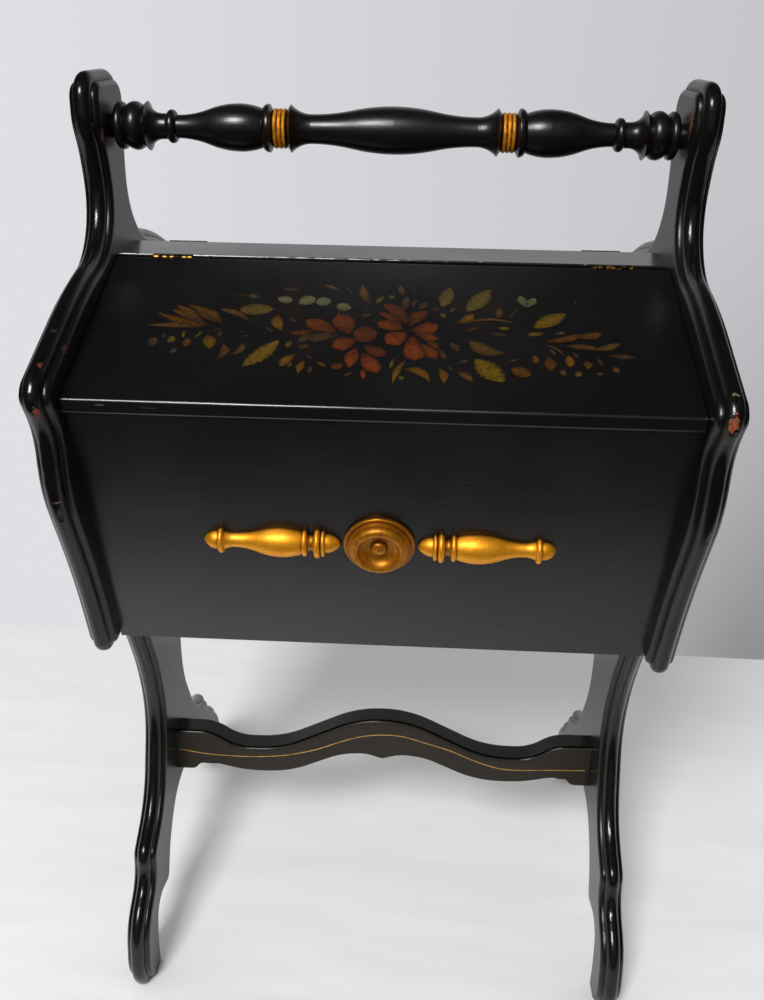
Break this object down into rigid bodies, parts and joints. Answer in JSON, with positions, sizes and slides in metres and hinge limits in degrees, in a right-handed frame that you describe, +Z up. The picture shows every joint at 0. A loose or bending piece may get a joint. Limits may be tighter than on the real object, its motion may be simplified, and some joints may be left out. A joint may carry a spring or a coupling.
{
  "type": "sewing cabinet",
  "caption": "Trestle sewing cabinet with sloping hinged lids each side of a fixed rail, shaped end boards, a turned carrying rail and a serpentine stretcher.",
  "frame": {"origin": "on the floor, midway between the four feet", "axes": "+X to the right seen from the front, +Y to the back, +Z up"},
  "size_m": [0.364, 0.3086, 0.622],
  "materials": {
    "ebonised_wood": "gloss black lacquer over wood",
    "gilt_wood": "antique gold paint over turned wood",
    "plain_wood": "bare wood, unfinished",
    "hinge_brass": "aged brass",
    "screw_steel": "dull steel"
  },
  "bodies": {
    "cabinet": {"left_end": "ebonised_wood", "right_end": "ebonised_wood", "front_panel": "ebonised_wood", "back_panel": "ebonised_wood", "bottom_board": "plain_wood", "left_cleat": "plain_wood", "right_cleat": "plain_wood", "top_rail": "ebonised_wood", "handle_rail": "ebonised_wood", "stretcher": "ebonised_wood", "stretcher_dowels": "plain_wood", "rosette": "gilt_wood", "left_spindle": "gilt_wood", "right_spindle": "gilt_wood", "rail_hinge_screws": "screw_steel", "front_left_rail_leaf": "hinge_brass", "front_left_hinge_pin": "hinge_brass", "front_right_rail_leaf": "hinge_brass", "front_right_hinge_pin": "hinge_brass", "back_left_rail_leaf": "hinge_brass", "back_left_hinge_pin": "hinge_brass", "back_right_rail_leaf": "hinge_brass", "back_right_hinge_pin": "hinge_brass"},
    "front_lid": {"front_lid": "ebonised_wood", "front_left_lid_leaf": "hinge_brass", "front_right_lid_leaf": "hinge_brass", "front_lid_hinge_screws": "screw_steel"},
    "back_lid": {"back_lid": "ebonised_wood", "back_left_lid_leaf": "hinge_brass", "back_right_lid_leaf": "hinge_brass", "back_lid_hinge_screws": "screw_steel"}
  },
  "joints": [
    {"name": "front_lid_hinge", "type": "hinge", "parent": "cabinet", "child": "front_lid", "pos_m": [0, -0.0205, 0.5208], "axis": [-1, 0, 0], "range_deg": [0, 116]},
    {"name": "back_lid_hinge", "type": "hinge", "parent": "cabinet", "child": "back_lid", "pos_m": [0, 0.0205, 0.5208], "axis": [1, 0, 0], "range_deg": [0, 116]}
  ]
}
